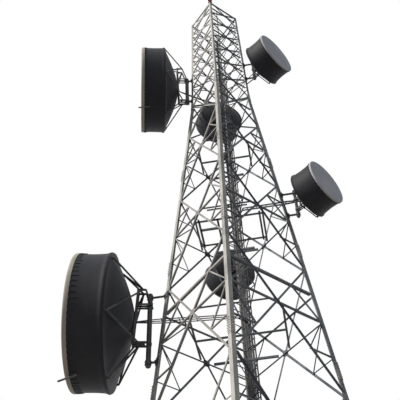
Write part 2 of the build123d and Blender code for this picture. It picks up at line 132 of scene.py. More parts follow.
# %% The socket wrapper
class Socket:
    """A node output that can be used in arithmetic."""

    def __init__(self, tree, out):
        self.tree, self.out = tree, out

    def maths(self, operation, first, second):
        made = self.tree.nodes.new("ShaderNodeMath")
        made.operation = operation
        for slot, value in zip(made.inputs, (first, second)):
            if isinstance(value, Socket):
                self.tree.links.new(value.out, slot)
            else:
                slot.default_value = value
        return Socket(self.tree, made.outputs[0])

    def __add__(self, other):
        return self.maths("ADD", self, other)

    __radd__ = __add__

    def __mul__(self, other):
        return self.maths("MULTIPLY", self, other)

    __rmul__ = __mul__

    def __sub__(self, other):
        return self.maths("SUBTRACT", self, other)

    def __rsub__(self, other):
        return self.maths("SUBTRACT", other, self)

    def at_least(self, other):
        return self.maths("MAXIMUM", self, other)


print("sockets can be added, subtracted, scaled and compared")

# %% [markdown]
# ## Node trees and finishes
# A material and the world both hold a node tree, so the methods that make nodes belong to one
# class, and a finish adds only what a material has more. A noise reads the place of a point in
# metres, so that the same grain has the same real size on a short bar and on a long leg.

# %% The tree and the finish
class Tree:
    """A node tree under construction."""

    def __init__(self, tree):
        self.tree = tree

    def node(self, kind, out=0, inputs=None, **settings):
        """Any node by type: settings first, then input values or links by name or number."""
        made = self.tree.nodes.new("ShaderNode" + kind)
        for key, value in settings.items():
            if key == "stops":
                ramp = made.color_ramp
                while len(ramp.elements) < len(value):
                    ramp.elements.new(0.5)
                for stop, (place, colour) in zip(ramp.elements, value):
                    stop.position, stop.color = place, (*colour, 1.0)
            else:
                setattr(made, key, value)
        for key, value in (inputs or {}).items():
            if isinstance(value, Socket):
                self.tree.links.new(value.out, made.inputs[key])
            else:
                made.inputs[key].default_value = value
        return Socket(self.tree, made.outputs[out])

    def directly_seen(self):
        """1 for rays from the camera, a mirror or glass, 0 for the light on the object."""
        camera_ray, mirror_ray, glass_ray = (
            self.node("LightPath", out="Is " + kind + " Ray")
            for kind in ("Camera", "Glossy", "Transmission")
        )
        return camera_ray.at_least(mirror_ray).at_least(glass_ray)

    def place(self):
        """Where a surface point is, in metres, in the object's own space."""
        return self.node("TexCoord", out=3)

    def noise(self, scale, detail=4.0, rough=0.55, stretch=(1, 1, 1)):
        where = self.node("Mapping", inputs={"Vector": self.place(), "Scale": stretch})
        settings = {"Vector": where, "Scale": scale, "Detail": detail, "Roughness": rough}
        return self.node("TexNoise", inputs=settings)

    def mix(self, factor, low, high):
        """A colour between two colours."""
        low, high = (c if isinstance(c, Socket) else (*c, 1.0) for c in (low, high))
        inputs = {0: factor, 6: low, 7: high}
        return self.node("Mix", out=2, inputs=inputs, data_type="RGBA")

    def ramp(self, factor, stops):
        return self.node("ValToRGB", inputs={"Fac": factor}, stops=stops)

    def bump(self, height, strength, distance):
        settings = {"Height": height, "Strength": strength, "Distance": distance}
        return self.node("Bump", inputs=settings)


class Finish(Tree):
    """A material under construction."""

    def __init__(self, name):
        self.material = bpy.data.materials.new(name)
        self.material.use_nodes = True
        super().__init__(self.material.node_tree)
        self.shader = self.tree.nodes["Principled BSDF"]

    def set(self, **values):
        """Fill the shader's own sockets; underscores stand for the spaces in their names."""
        for key, value in values.items():
            slot = self.shader.inputs[key.replace("_", " ")]
            if isinstance(value, Socket):
                self.tree.links.new(value.out, slot)
            else:
                slot.default_value = value


print("finishes are written with Socket, Tree and Finish")

# %% [markdown]
# ## Background and floor finish
# The world mixes two plain colours: a weak, slightly blue light that the object receives, and the
# white that the camera and mirror-like surfaces see behind it. One white world could do both, but
# it would wash out the dark sides of the bars. The floor is treated alike: pale where it is seen,
# and a darker brown for the light that it throws back up.

# %% World and floor
world = bpy.data.worlds.new("studio")
world.use_nodes = True
scene.world = world
world.node_tree.nodes.remove(world.node_tree.nodes["Background"])
sky = Tree(world.node_tree)
light = sky.node("Background", inputs={"Color": (0.74, 0.87, 1.0, 1.0), "Strength": 0.23})
white = sky.node("Background", inputs={"Color": (1.0, 1.0, 1.0, 1.0), "Strength": 1.0})
both = sky.node("MixShader", inputs={0: sky.directly_seen(), 1: light, 2: white})
sky.tree.links.new(both.out, sky.tree.nodes["World Output"].inputs["Surface"])

pale = Finish("pale_floor")
mottle = pale.noise(0.6, 3.0)
shade = pale.mix(mottle, (0.19, 0.16, 0.13), (0.24, 0.20, 0.17))
colour = pale.mix(pale.directly_seen(), shade, (0.86, 0.86, 0.85))
pale.set(Base_Color=colour, Roughness=0.9)
floor_mesh.materials.append(pale.material)
print("world and floor finished")

# %% [markdown]
# ## Weathered zinc
# Hot-dip galvanised steel goes from bright to a dull, cloudy grey. The colour varies softly from
# place to place, rain leaves faint streaks down the bars, and the surface keeps a slight mottle
# of crystals. One function makes the finish, and each family of parts gets its own brightness.
# Some of these are painted light and shade. The left face, which the lamp lights, gets paler
# copies. The right legs, the mounts and the cable ladder get darker ones. The other faces' bracing
# gets a darker, bluish zinc that is partly weathered and partly painted shade.

# %% Zinc finishes
def zinc(name, dark, bright, rough, streaks):
    finish = Finish(name)
    cloud = finish.noise(0.9, 5.0, 0.6)
    grain = finish.noise(28.0, 3.0, 0.6)
    rain = finish.noise(9.0, 3.0, 0.5, (1, 1, 0.06))
    tone = cloud * 0.9 + grain * 0.35 - rain * streaks
    colour = finish.ramp(tone, [(0.28, dark), (0.80, bright)])
    finish.set(Base_Color=colour, Metallic=0.12)
    finish.set(Roughness=rough + grain * 0.18, Specular_IOR_Level=0.25)
    finish.set(Normal=finish.bump(grain, 0.12, 0.002))
    return finish.material


LEG_ZINC = zinc("leg_zinc", (0.22, 0.218, 0.215), (0.70, 0.68, 0.63), 0.50, 0.25)
# painted light: a paler copy of the zinc for the top bars of the lit left face
PAINTED_LIGHT_UPPER_ZINC = zinc("painted_light_upper_zinc", (0.34, 0.33, 0.33), (0.84, 0.81, 0.78), 0.50, 0.2)
# partly weathered zinc, partly painted shade: darker and bluish for the faces the lamp leaves in
# shade
PAINTED_SHADE_WEATHERED_ZINC = zinc("bracing_zinc", (0.055, 0.068, 0.090), (0.27, 0.285, 0.31), 0.52, 0.2)
LADDER_ZINC = zinc("ladder_zinc", (0.07, 0.07, 0.072), (0.30, 0.29, 0.28), 0.52, 0.2)
# painted shade: the darkest zinc, for the mounts, the stay and the cable ladder, which stand in
# shadow
PAINTED_SHADE_MOUNT_STEEL = zinc("painted_shade_mount_steel", (0.035, 0.038, 0.044), (0.20, 0.20, 0.20), 0.50, 0.2)
# painted light: a paler copy of the bracing zinc for the lit left face
PAINTED_LIGHT_ZINC = zinc("painted_light_zinc", (0.12, 0.12, 0.125), (0.50, 0.485, 0.46), 0.52, 0.2)
# painted shade: a darker, bluish copy of the leg zinc for the legs on the right
PAINTED_SHADE_LEGS_ZINC = zinc("painted_shade_legs_zinc", (0.09, 0.10, 0.12), (0.36, 0.37, 0.38), 0.52, 0.25)
print("seven zinc finishes")

# %% [markdown]
# ## Coats
# The drums wear a charcoal paint with a dull sheen that dust has greyed on top. The front sheets
# are woven and coated cloth, stained where rain runs down. Cable jackets are black plastic with
# pale dust. Each is a noise or two run through a ramp, with its own roughness; the drums and the
# sheets also get a fine bump.

# %% Coats for the dishes and small parts
def shroud_coat():
    finish = Finish("charcoal_shroud")
    cloud = finish.noise(0.8, 4.0, 0.5)
    streak = finish.noise(5.0, 3.0, 0.55, (1, 1, 0.12))
    fine = finish.noise(60.0, 2.0, 0.5)
    tone = cloud * 0.6 + streak * 0.5
    colour = finish.ramp(tone, [(0.30, (0.020, 0.021, 0.027)), (0.85, (0.052, 0.053, 0.062))])
    finish.set(Base_Color=colour, Roughness=0.52 + streak * 0.16)
    finish.set(Specular_IOR_Level=0.16, Normal=finish.bump(fine, 0.1, 0.002))
    return finish.material


def cloth(name, dark, bright, stains):
    """Coated cloth with a fine weave and rain stains."""
    finish = Finish(name)
    cloud = finish.noise(1.1, 4.0, 0.6)
    stain = finish.noise(4.0, 4.0, 0.6, (1, 1, 0.25))
    weave = finish.noise(160.0, 1.0, 0.3)
    colour = finish.ramp(cloud * 0.7 + stain * stains, [(0.30, dark), (0.85, bright)])
    finish.set(Base_Color=colour, Roughness=0.72 + weave * 0.16)
    finish.set(Normal=finish.bump(weave, 0.15, 0.001))
    return finish.material


def plain_coat(name, dark, bright, rough, grain=6.0, detail=3.0, spread=0.15):
    """Plastic, rope or paint, uneven with dust and wear."""
    finish = Finish(name)
    wear = finish.noise(grain, detail)
    finish.set(Base_Color=finish.ramp(wear, [(0.3, dark), (0.8, bright)]))
    finish.set(Roughness=rough + wear * spread)
    return finish.material


def red_coat(name, dark, bright, rough):
    return plain_coat(name, dark, bright, rough, 12.0, 4.0, 0.2)


SHROUD = shroud_coat()
HEM = cloth("pale_cloth", (0.40, 0.37, 0.32), (0.70, 0.65, 0.58), 0.4)
RADOME = cloth("grey_cloth", (0.46, 0.465, 0.50), (0.74, 0.745, 0.78), 0.4)
JACKET = plain_coat("black_jacket", (0.014, 0.014, 0.018), (0.048, 0.048, 0.060), 0.45)
ROPE = plain_coat("lacing_rope", (0.010, 0.010, 0.010), (0.03, 0.03, 0.03), 0.75)
RED = red_coat("red_lens", (0.30, 0.02, 0.02), (0.58, 0.09, 0.08), 0.22)
RED_PAINT = red_coat("red_paint", (0.22, 0.03, 0.025), (0.50, 0.11, 0.09), 0.5)
print("seven coats")

# %% [markdown]
# ## Bars, tubes and bolts
# A lattice is hundreds of bars that all follow the same rule: an outline is swept from one point
# to another. They could be separate objects or an array, but a bar changes its length and its
# slope from panel to panel, so it is simpler to write the sweep once and to gather many sweeps
# in one mesh. The same helper turns round tubes along a path and lays hexagonal bolt heads.

# %% The piece builder
class Piece:
    """Gathers plain solids into one named mesh that rides on the tower."""

    def __init__(self, name):
        self.name, self.points, self.faces = name, [], []

    def rings(self, rings, capped=True):
        """Join rings of points one after the other."""
        start, count = len(self.points), len(rings[0])
        for ring in rings:
            self.points.extend(ring)
        for k in range(len(rings) - 1):
            a, b = start + k * count, start + (k + 1) * count
            for i in range(count):
                j = (i + 1) % count
                self.faces.append((a + i, a + j, b + j, b + i))
        if capped:
            last = start + (len(rings) - 1) * count
            self.faces.append(tuple(start + i for i in reversed(range(count))))
            self.faces.append(tuple(last + i for i in range(count)))

    def bar(self, p, q, normal, outline):
        """Sweep an outline of (upward, outward) steps from p to q."""
        p, q = Vector(p), Vector(q)
        along = (q - p).normalized()
        out = Vector(normal)
        out = (out - along * out.dot(along)).normalized()
        side = out.cross(along)
        if side.z < 0:
            side = -side
        self.rings([[end + side * a + out * b for a, b in outline] for end in (p, q)])

    def tube(self, path, radius, sides=8):
        """A round tube along a path; radius is one number or one for each point."""
        path = [Vector(p) for p in path]
        sizes = radius if isinstance(radius, (list, tuple)) else [radius] * len(path)
        rings, side = [], None
        for i, point in enumerate(path):
            along = (path[min(i + 1, len(path) - 1)] - path[max(i - 1, 0)]).normalized()
            if side is None:
                side = along.orthogonal()
            side = (side - along * side.dot(along)).normalized()
            other = along.cross(side)
            turns = [2 * pi * k / sides for k in range(sides)]
            rings.append([point + (side * cos(t) + other * sin(t)) * sizes[i] for t in turns])
        self.rings(rings)

    def block(self, centre, size):
        """A square-edged block."""
        x, y, z = (0.5 * v for v in size)
        ring = [Vector(v) for v in ((-x, -y, 0), (x, -y, 0), (x, y, 0), (-x, y, 0))]
        rise = Vector((0, 0, z))
        self.rings([[Vector(centre) + (v + w) for v in ring] for w in (-rise, rise)])

    def bolt(self, at, axis, size=0.016, stub=0.0):
        """A washer, a hexagonal head and, if asked for, the thread that stands out of it."""
        at, axis = Vector(at), Vector(axis).normalized()
        self.tube([at, at + axis * (0.25 * size)], 1.35 * size, 12)
        self.tube([at + axis * 0.25 * size, at + axis * 1.1 * size], size, 6)
        if stub:
            self.tube([at + axis * size, at + axis * (1.1 * size + stub)], 0.52 * size, 8)

    def lathe(self, place, profile, sides=96, beats=0, deep=0.0):
        """Turn a profile of (forward, radius) steps about the local X axis.

        With beats, the first and the last step are a hem, cut in that many scallops.
        """
        rings = []
        for k, (x, r) in enumerate(profile):
            hem = beats and k in (0, len(profile) - 1)
            ring = []
            for i in range(sides):
                t = 2 * pi * i / sides
                cut = deep * (1 - abs(sin(beats * t / 2))) if hem else 0.0
                ring.append(place @ Vector((x - cut, r * cos(t), r * sin(t))))
            rings.append(ring)
        self.rings(rings, capped=False)

    def done(self, finish, slot, smooth=None):
        """Make the object; smooth is the angle below which edges are shaded round."""
        mesh = bpy.data.meshes.new(self.name)
        mesh.from_pydata([p + AXIS for p in self.points], [], self.faces)
        work = bmesh.new()
        work.from_mesh(mesh)
        bmesh.ops.remove_doubles(work, verts=work.verts, dist=1e-5)
        loose = [e for e in work.edges if not e.link_faces]
        bmesh.ops.delete(work, geom=loose, context="EDGES")
        bmesh.ops.recalc_face_normals(work, faces=work.faces)
        work.to_mesh(mesh)
        work.free()
        if smooth:
            mesh.polygons.foreach_set("use_smooth", [True] * len(mesh.polygons))
            mesh.set_sharp_from_angle(angle=radians(smooth))
        mesh.materials.append(finish)
        piece = bpy.data.objects.new(self.name, mesh)
        bpy.context.scene.collection.objects.link(piece)
        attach(piece, "root")
        print(self.name, len(mesh.polygons), "faces")
        return piece


def angle(wide, thick):
    """The outline of an angle bar: one leg flat on the face, one standing off it."""
    half = wide / 2
    return [
        (half, 0),
        (-half, 0),
        (-half, wide),
        (thick - half, wide),
        (thick - half, thick),
        (half, thick),
    ]


print("piece builder ready")

# %% [markdown]
# ## The four faces
# Every face of the tower is the same drawing, turned a quarter each time. A point on it is given
# by its distance from the middle line, its height, and its depth behind the leg corners. Panels
# get shorter as the tower gets narrower, so their levels are shares of the height.

# %% Points on a face
LOWER = [share * WAIST for share in (0.0, 0.241, 0.462, 0.6317, 0.7849, 0.9214, 1.0)]
RISE = TOP - WAIST
UPPER = [WAIST + share * RISE for share in (0.0, 0.197, 0.365, 0.535, 0.694, 0.849, 1.0)]
SIDES = {"front": 0, "right": 1, "back": 2, "left": 3}
LEG_LOW, LEG_HIGH = 0.150, 0.100
FACE_DEPTH, SHEET = 0.015, 0.010
LEAN = 0.069


def leg_size(z):
    """Flange width of the leg angle at height z."""
    return LEG_HIGH if z > WAIST else LEG_LOW


def edge(z):
    """Distance of a bar's end from the middle of its face."""
    return half_width(z) - leg_size(z) / 2


def foot_edge(z):
    """The same at a panel's foot, where the size of the leg just above it counts."""
    return edge(z + 1e-4)


def crossing(z0, z1):
    """Height at which the two diagonals of a panel cross."""
    return z0 + (z1 - z0) * foot_edge(z0) / (foot_edge(z0) + edge(z1))


def on_face(turn, u, z, depth=FACE_DEPTH):
    """The point u to the right of the middle of a face, at height z."""
    x, y = u, depth - half_width(z)
    for _ in range(turn):
        x, y = -y, x
    return Vector((x, y, z))


def outward(turn):
    """The direction straight out of a face."""
    return (Matrix.Rotation(turn * pi / 2, 3, "Z") @ Vector((0, -1, LEAN))).normalized()


panels = list(zip(LOWER, LOWER[1:])) + list(zip(UPPER, UPPER[1:]))
print("panels:", len(panels), "crossings:", [round(crossing(a, b), 2) for a, b in panels])

# %% [markdown]
# ## Outstanding flanges
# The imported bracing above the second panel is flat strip. A real bar is an angle: one flange lies
# on the face and the other stands off it, which is what keeps a long bar from buckling. Rising
# bars and level bars carry theirs inwards and falling bars carry theirs outwards, so that the two
# diagonals can cross back to back.

# %% Add the second flange to every upper bar
DIAGONAL, LEVEL_BAR, RING_STRUT = 0.070, 0.060, 0.090
SLIM_DIAGONAL, SLIM_LEVEL = 0.050, 0.050
TOP_RING, TOP_DROP = 0.060, 0.031
TIP, FLANGE_T = 0.105, 0.009
OUT_TALL, IN_TALL = 0.55, 0.85


def flange(piece, turn, start, end, wide, out, tip=TIP):
    """The flange that stands on one edge of a flat bar between two (u, z) points."""
    depth = FACE_DEPTH if out > 0 else FACE_DEPTH + SHEET
    p, q = on_face(turn, *start, depth), on_face(turn, *end, depth)
    along = (q - p).normalized()
    trim = along * min(tip, 0.25 * (q - p).length)
    edge_up = wide / 2 if out > 0 else -wide / 2
    back = edge_up - FLANGE_T if out > 0 else edge_up + FLANGE_T
    tall = OUT_TALL * wide if out > 0 else -IN_TALL * wide
    outline = [(edge_up, 0), (back, 0), (back, tall), (edge_up, tall)]
    piece.bar(p + trim, q - trim, outward(turn), outline)


for side, turn in SIDES.items():
    for label, levels in (("middle", LOWER[2:]), ("top", UPPER)):
        piece = Piece("flanges_" + side + "_" + label)
        wide = DIAGONAL if label == "middle" else SLIM_DIAGONAL
        flat = LEVEL_BAR if label == "middle" else SLIM_LEVEL
        for z0, z1 in zip(levels, levels[1:]):
            e0, e1, zc = foot_edge(z0), edge(z1), crossing(z0, z1)
            ec = edge(zc)
            flange(piece, turn, (-e0, z0), (e1, z1), wide, -1)
            flange(piece, turn, (e0, z0), (-e1, z1), wide, 1)
            flange(piece, turn, (-ec, zc), (ec, zc), flat, -1)
        if label == "middle":
            z = (crossing(LOWER[2], LOWER[3]) + LOWER[3]) / 2
            flange(piece, turn, (-edge(z), z), (edge(z), z), RING_STRUT, -1)
        else:
            z = TOP - TOP_DROP
            flange(piece, turn, (-edge(z), z), (edge(z), z), TOP_RING, -1, 0.0)
        # painted light: the lit left face gets paler copies of the zinc; the others' darker zinc is
        # partly painted shade
        finish = PAINTED_SHADE_WEATHERED_ZINC
        if side == "left":
            finish = PAINTED_LIGHT_UPPER_ZINC if label == "top" else PAINTED_LIGHT_ZINC
        piece.done(finish, "bracing_zinc")

# %% [markdown]
# ## Secondary bars
# A slender diagonal is held at its middle by two short bars that run to the leg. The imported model
# carries them in its two lowest panels. The next three panels have them too, lighter ones, so
# they are added here: one from the level bar's end and one from the leg, to each quarter point.

# %% Secondary bars of the middle panels
REDUNDANT, REDUNDANT_T, REDUNDANT_DEPTH = 0.045, 0.005, 0.026
for side, turn in SIDES.items():
    piece = Piece("secondary_bars_" + side)
    for z0, z1 in panels[2:5]:
        zc = crossing(z0, z1)
        for s in (-1, 1):
            for end in (z0, z1):
                z = (zc + end) / 2
                middle = on_face(turn, s * edge(end) / 2, z, REDUNDANT_DEPTH)
                starts = [(s * edge(zc), zc)]
                if not (end == z1 and z0 == LOWER[2]):
                    starts.append((s * edge(z), z))
                for u, height in starts:
                    start = on_face(turn, u, height, REDUNDANT_DEPTH)
                    piece.bar(start, middle, -outward(turn), angle(REDUNDANT, REDUNDANT_T))
    # painted light: paler zinc on the lit left face; the others' darker, bluish zinc is partly
    # painted shade
    piece.done(PAINTED_LIGHT_ZINC if side == "left" else PAINTED_SHADE_WEATHERED_ZINC, "bracing_zinc")

# %% [markdown]
# ## Plan bracing
# Seen from below, each level of crossings is tied by a flat diamond, so that the square tower
# can't lean into a lozenge. Its bars end a little to each side of a crossing, on the level bar,
# and a strut joins the middles of two of them. They are angles as well. One level carries a rest
# platform, and there the diamond is doubled and has two struts with a hatch frame between.

# %% Diamonds, struts and the rest platform
PLAN_BAR, PLAN_STRUT, PLAN_T, OFF_CROSSING = 0.070, 0.090, 0.008, 0.27
PLAN_INSET, INNER_INSET = 0.075, 0.24
STRUT_DROP, REST_DROP = 0.10, 0.02
REST, REST_NEAR, REST_FAR = 3, 0.44, 0.42
UPWARD = Vector((0, 0, 1))


def flat_bar(piece, p, q, wide, z):
    """A level angle between two (x, y) points."""
    piece.bar((*p, z), (*q, z), UPWARD, angle(wide, PLAN_T))


def diamond(piece, z, inset):
    """Four bars that join the middles of the faces."""
    reach = half_width(z) - inset
    for sx in (-1, 1):
        for sy in (-1, 1):
            p, q = (sx * OFF_CROSSING, sy * reach), (sx * reach, sy * OFF_CROSSING)
            flat_bar(piece, p, q, PLAN_BAR, z)


piece = Piece("plan_frames")
for i, (z0, z1) in enumerate(panels[:5]):
    z = crossing(z0, z1)
    diamond(piece, z, PLAN_INSET)
    half = (half_width(z) - PLAN_INSET + OFF_CROSSING) / 2
    if i != REST:
        flat_bar(piece, (half, -half), (-half, half), PLAN_STRUT, z - STRUT_DROP)
        continue
    diamond(piece, z, INNER_INSET)
    z -= REST_DROP
    for shift in (-REST_NEAR, REST_FAR):
        p, q = (half + shift, shift - half), (shift - half, half + shift)
        flat_bar(piece, p, q, PLAN_STRUT, z)
    for across in (-0.78, -0.30):
        p = (across - REST_NEAR, -across - REST_NEAR)
        flat_bar(piece, p, (across + REST_FAR, REST_FAR - across), PLAN_BAR, z)
    flat_bar(piece, (-0.90, 0.66), (-0.42, 0.18), PLAN_BAR, z)
# darker, bluish zinc: partly weathered, partly painted shade
piece.done(PAINTED_SHADE_WEATHERED_ZINC, "bracing_zinc")
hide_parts("plan_bracing")

# %% [markdown]
# ## Feeder cables
# Each dish is fed by stiff coaxial cables that run up the cable ladder in a row. A bundle is never
# quite even: thick and thin cables alternate, and a few stray ones run beside the row. They could
# be curves with a round bevel, but they never hang free, so plain tubes that follow the ladder's
# slope do as well. A little noise makes each one sway between its clamps.

# %% Cables on the cable ladder
RACK_IN, RACK_ACROSS = 0.190, 0.360
FEEDERS, PITCH, FEEDER_DEPTH = 8, 0.060, 0.045
ROW_SWAY, STRAY_SWAY, SWAY_STEP = 0.012, 0.03, 0.55
FEEDER_FOOT, FEEDER_TOP = 0.60, TOP - 4.5
RADII = (0.023, 0.014, 0.019, 0.023, 0.012, 0.023, 0.017, 0.023)
STRAYS = (  # across, inwards, radius, lowest and highest point
    (-0.30, 0.02, 0.016, 3.0, 23.8),
    (0.30, 0.03, 0.014, 2.4, 22.6),
    (-0.24, 0.10, 0.012, 4.0, 24.3),
    (0.02, 0.11, 0.014, 2.0, 23.2),
    (0.19, 0.11, 0.011, 5.0, 30.4),
)


def rack_point(z, across=0.0, inwards=0.0):
    """A point of the cable ladder, inside the right face."""
    h = half_width(z)
    return Vector((h - RACK_IN - inwards, h - RACK_ACROSS + across, z))


def rack_line(piece, across, inwards, radius, low, high, wander):
    """A cable up the ladder that sways a little between its clamps."""
    path, z = [], low
    while z < high:
        sway = wander * noise.noise(Vector((across * 40, inwards * 30, z * 0.8)))
        path.append(rack_point(z, across + sway, inwards + abs(sway) * 0.6))
        z += SWAY_STEP
    path.append(rack_point(high, across, inwards))
    piece.tube(path, radius, 8)


piece = Piece("feeder_cables")
for i, radius in enumerate(RADII):
    across = (i - (FEEDERS - 1) / 2) * PITCH
    rack_line(piece, across, FEEDER_DEPTH, radius, FEEDER_FOOT, FEEDER_TOP, ROW_SWAY)
for stray in STRAYS:
    rack_line(piece, *stray, STRAY_SWAY)
feeders = piece.done(JACKET, "feeder", smooth=40)
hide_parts("feeder_lines")

# %% [markdown]
# ## Cable clamps
# Every 0.9 m a bar across the row presses the cables on to the ladder, with a thin cheek and a
# bolt between neighbours, and a light angle joins the ladder's two rails. They repeat so
# regularly that a loop over the height lays them all in one piece.

# %% Cable clamps and the ladder's own cross bars
CLAMP_PITCH, CLAMP_TALL = 0.90, 0.036
piece = Piece("cable_clamps")
z = 1.4
while z < FEEDER_TOP - 0.3:
    piece.block(rack_point(z, 0, 0.075), (0.014, FEEDERS * PITCH + 0.05, CLAMP_TALL))
    for k in range(FEEDERS + 1):
        across = (k - FEEDERS / 2) * PITCH
        piece.block(rack_point(z, across, FEEDER_DEPTH), (0.075, 0.007, CLAMP_TALL))
        piece.bolt(rack_point(z, across, 0.080), (-1, 0, 0), 0.008)
    z += CLAMP_PITCH
z = 0.80
while z < TOP - 3.4:
    piece.bar(rack_point(z, -0.30), rack_point(z, 0.34), (1, 0, 0), angle(0.030, 0.004))
    z += CLAMP_PITCH
# painted shade: the clamps get the darkest zinc
piece.done(PAINTED_SHADE_MOUNT_STEEL, "ladder_zinc")

# %% [markdown]
# ## Dish skins
# A shrouded dish is a shallow spun bowl with a rolled rim, a deep drum bolted to it and a sheet
# stretched over the front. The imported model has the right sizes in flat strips. Six dishes come in
# four sizes, so one class keeps a dish's place and answers every question about its shape.

# %% Where each dish stands and how it looks
# Sizes: pipe to leg, radius, shroud, bowl, hub, frame (top, bottom, half width), arm heights.
PINCH, WALL, HUB_SHARE = 0.050, 0.020, 0.16
ROLL, SLIGHT_WAIST, BOWL_POWER = 0.016, 0.014, 1.55
CORNER = {"front_right": (1, -1), "back_right": (1, 1), "back_left": (-1, 1)}
HIGH, LOW = WAIST + 2.110, 0.7455 * WAIST
SMALL_HIGH = (0.388, 1.067, 0.913, 0.330, 0.164, (0.450, -0.350, 0.120), (0.780, -0.460))
SMALL_LOW = (0.408, 0.940, 0.868, 0.300, 0.265, (0.420, -0.350, 0.120), (0.640, -0.560))
LARGE_HIGH = (0.208, 1.980, 0.990, 0.670, 0.460, (1.860, -1.000, 0.110), (0.820, -0.950))
LARGE_LOW = (0.416, 2.320, 1.150, 0.740, 0.522, (1.390, -0.950, 0.110), (1.060, -1.650))


class Dish:
    """One dish: its place on the tower and the forward distances of its parts."""

    def __init__(self, name, corner, z, aim, sizes):
        self.name, self.corner, self.z = name, CORNER[corner], z
        out, self.radius, shroud, depth, self.hub, self.frame, self.arms = sizes
        self.depth, self.large = depth, self.radius > 1.5
        reach = half_width(z) + out / sqrt(2)
        self.pipe = Vector((self.corner[0] * reach, self.corner[1] * reach, z))
        self.stand = Matrix.Translation(self.pipe) @ Matrix.Rotation(radians(aim[0]), 4, "Z")
        self.place = self.stand @ Matrix.Rotation(radians(-aim[1]), 4, "Y")
        self.rim = self.hub + depth
        self.front = self.rim + shroud
        self.hem = 0.115 if self.large else 0.036
        self.ropes, self.scallop = (72, 0.022) if self.large else (36, 0.014)

    def back(self, share):
        """How far forward the bowl's outside is, at a share of the radius."""
        hub = HUB_SHARE**BOWL_POWER
        return self.hub + self.depth * (share**BOWL_POWER - hub) / (1 - hub)

    def at(self, x, radius, turn):
        """A point in the world from forward distance, radius and turn in degrees."""
        t = radians(turn)
        return self.place @ Vector((x, radius * cos(t), radius * sin(t)))

    def away(self, turn):
        """The direction straight out from the axis at a turn."""
        return self.place.to_3x3() @ Vector((0, cos(radians(turn)), sin(radians(turn))))

    def wall(self, share):
        """Radius of the drum between its rims, drawn in at the middle."""
        waist = SLIGHT_WAIST if self.name == "left_upper" else PINCH - 0.010
        return self.radius - ROLL - waist * max(0.0, sin(pi * share)) ** 0.7

    def over(self, back, lift=0.010):
        """Radius of cloth or rope that lies on the drum, a distance behind its front edge."""
        return self.wall(1 - back / (self.front - self.rim)) + lift


dishes = [
    Dish("left_upper", "back_left", WAIST + 1.450, (148, -1.5), LARGE_HIGH),
    Dish("left_lower", "back_left", 0.5872 * WAIST, (143.3, 2.7), LARGE_LOW),
    Dish("right_upper", "front_right", HIGH, (280.4, 1.8), SMALL_HIGH),
    Dish("right_lower", "front_right", LOW, (280.1, 2.4), SMALL_LOW),
    Dish("rear_upper", "back_right", HIGH, (70, 1.8), SMALL_HIGH),
    Dish("rear_lower", "back_right", LOW, (77, 2.4), SMALL_LOW),
]
print("dishes:", [d.name for d in dishes])

# %% [markdown]
# ## Bowls and drums
# Turning a fine profile about the dish's axis gives the smooth skin: the bowl is a curve a little
# straighter than a parabola, each rim is a small round roll, and the drum draws in between its
# rims. A subdivided cylinder would need its creases set by hand, while a profile says each radius
# outright. The profile is closed, so the skin has a real wall.

# %% Turn the bowls and drums
def bowl_profile(dish):
    r, ring = dish.radius, 0.04 * dish.radius
    shares = [HUB_SHARE + 0.07 * i for i in range(12)]
    outer = [(dish.hub, 0.0), (dish.hub, 0.15 * r)]
    outer += [(dish.back(s), s * r) for s in shares if s < 0.93]
    outer += [(dish.rim - ring, 0.945 * r), (dish.rim - 1.05 * ring, 0.970 * r)]
    outer += [(dish.rim - 0.9 * ring, 0.988 * r), (dish.rim - 0.5 * ring, 0.999 * r)]
    outer += [(dish.rim, r), (dish.rim + 0.35 * ring, r - 0.004)]
    length = dish.front - dish.rim
    start = 0.9 * ring / length
    for i in range(17):
        share = start + (1 - start) * i / 16
        outer.append((dish.rim + share * length, dish.wall(share)))
    bore = r - PINCH - WALL
    inner = [(dish.front, bore), (dish.rim + WALL, bore)]
    inner += [(dish.back(s) + WALL, s * bore) for s in (0.9, 0.75, 0.6, 0.4, 0.2)]
    return outer + inner + [(dish.hub + WALL, 0.0)]


for dish in dishes:
    piece = Piece("skin_" + dish.name)
    piece.lathe(dish.place, bowl_profile(dish))
    skin = piece.done(SHROUD, "shroud", smooth=35)
    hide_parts("dish_" + dish.name + "_reflector")

# %% [markdown]
# ## Front sheets
# The front sheet is a round cloth with a hem that wraps the drum's front rim. It is stretched too
# tight to fall in folds, so a cloth simulation would change nothing. The sheet is turned like the
# drum, and a wave moves the hem's edge back and forth in small scallops.

# %% Front sheets with scalloped hems
def sheet_profile(dish):
    r, front, hem, skin = dish.radius, dish.front, dish.hem, 0.006
    top = r - ROLL
    outer = [(front - back, dish.over(back)) for back in (hem, 0.6 * hem, 0.02)]
    outer += [(front + 0.012, top - 0.004), (front + 0.024, top - 0.016), (front + 0.029, 0.9 * r)]
    outer += [(front + 0.030, 0.5 * r), (front + 0.030, 0.0)]
    inner = [(front + 0.030 - skin, 0.0), (front + 0.018, top - 0.03)]
    inner += [(front - 0.02, dish.over(0.02, 0.004)), (front - hem + 0.004, dish.over(hem, 0.004))]
    return outer + inner + [outer[0]]


for dish in dishes:
    piece = Piece("sheet_" + dish.name)
    piece.lathe(dish.place, sheet_profile(dish), dish.ropes * 4, dish.ropes, dish.scallop)
    sheet = piece.done(HEM if dish.large else RADOME, "radome", smooth=35)
    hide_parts("dish_" + dish.name + "_radome")

# %% [markdown]
# ## Lacing and clips
# Short ropes pull the hem back to hooks on the drum, one at each tip of a scallop. No two are tied
# to quite the same length, so a little noise sets how far each one reaches. Clips sit round the
# rear rim, where the drum is bolted to the bowl.

